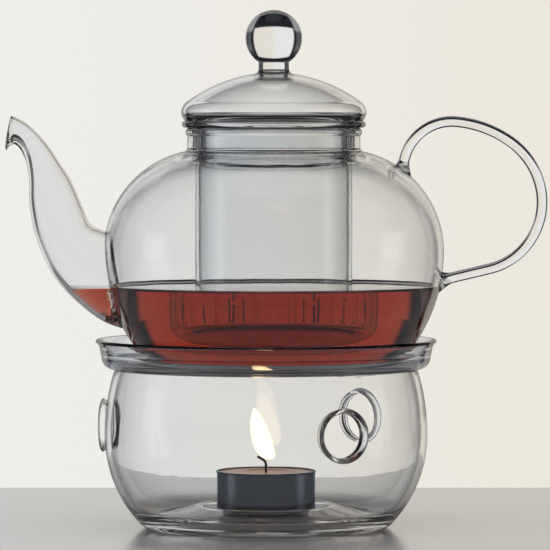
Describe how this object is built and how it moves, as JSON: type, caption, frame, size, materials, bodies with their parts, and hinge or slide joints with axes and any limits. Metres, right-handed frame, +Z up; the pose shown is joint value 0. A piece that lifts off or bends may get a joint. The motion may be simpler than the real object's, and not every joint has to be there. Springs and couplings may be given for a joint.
{
  "type": "glass teapot with infuser on a warmer",
  "caption": "Round clear glass teapot with curved spout, rod handle, glass infuser and domed lid with a ball knob, standing on a vented glass warmer that holds a tealight.",
  "frame": {"origin": "on the table, under the centre of the pot", "axes": "+Z up; the spout points along -X and the handle along +X"},
  "size_m": [0.2089, 0.1312, 0.1995],
  "materials": {
    "clear_glass": "clear fire-polished borosilicate glass",
    "tea": "black tea, clear red-brown liquid",
    "cup_aluminium": "drawn sheet, satin",
    "wax": "waxy, melted in the middle",
    "tab_tin": "tinned sheet",
    "wick_cotton": "burnt braided cotton"
  },
  "bodies": {
    "warmer": {"warmer_bowl": "clear_glass", "warmer_tray": "clear_glass", "vent_collar_left": "clear_glass", "vent_collar_front": "clear_glass", "vent_collar_back": "clear_glass"},
    "tealight": {"tealight_cup": "cup_aluminium", "tealight_wax": "wax", "wick_tab": "tab_tin", "wick": "wick_cotton"},
    "pot": {"pot_bowl": "clear_glass", "spout": "clear_glass", "handle": "clear_glass", "handle_lower_collar": "clear_glass", "handle_upper_collar": "clear_glass", "tea": "tea"},
    "infuser": {"infuser_cup": "clear_glass"},
    "lid": {"lid_dome": "clear_glass", "lid_skirt": "clear_glass", "lid_knob": "clear_glass"}
  },
  "joints": [
    {"name": "tealight_lift", "type": "slide", "parent": "warmer", "child": "tealight", "axis": [0, 0, 1], "range_m": [0, 0.03]},
    {"name": "pot_lift", "type": "slide", "parent": "warmer", "child": "pot", "axis": [0, 0, 1], "range_m": [0, 0.06]},
    {"name": "infuser_lift", "type": "slide", "parent": "pot", "child": "infuser", "axis": [0, 0, 1], "range_m": [0, 0.08]},
    {"name": "lid_lift", "type": "slide", "parent": "infuser", "child": "lid", "axis": [0, 0, 1], "range_m": [0, 0.03]}
  ]
}
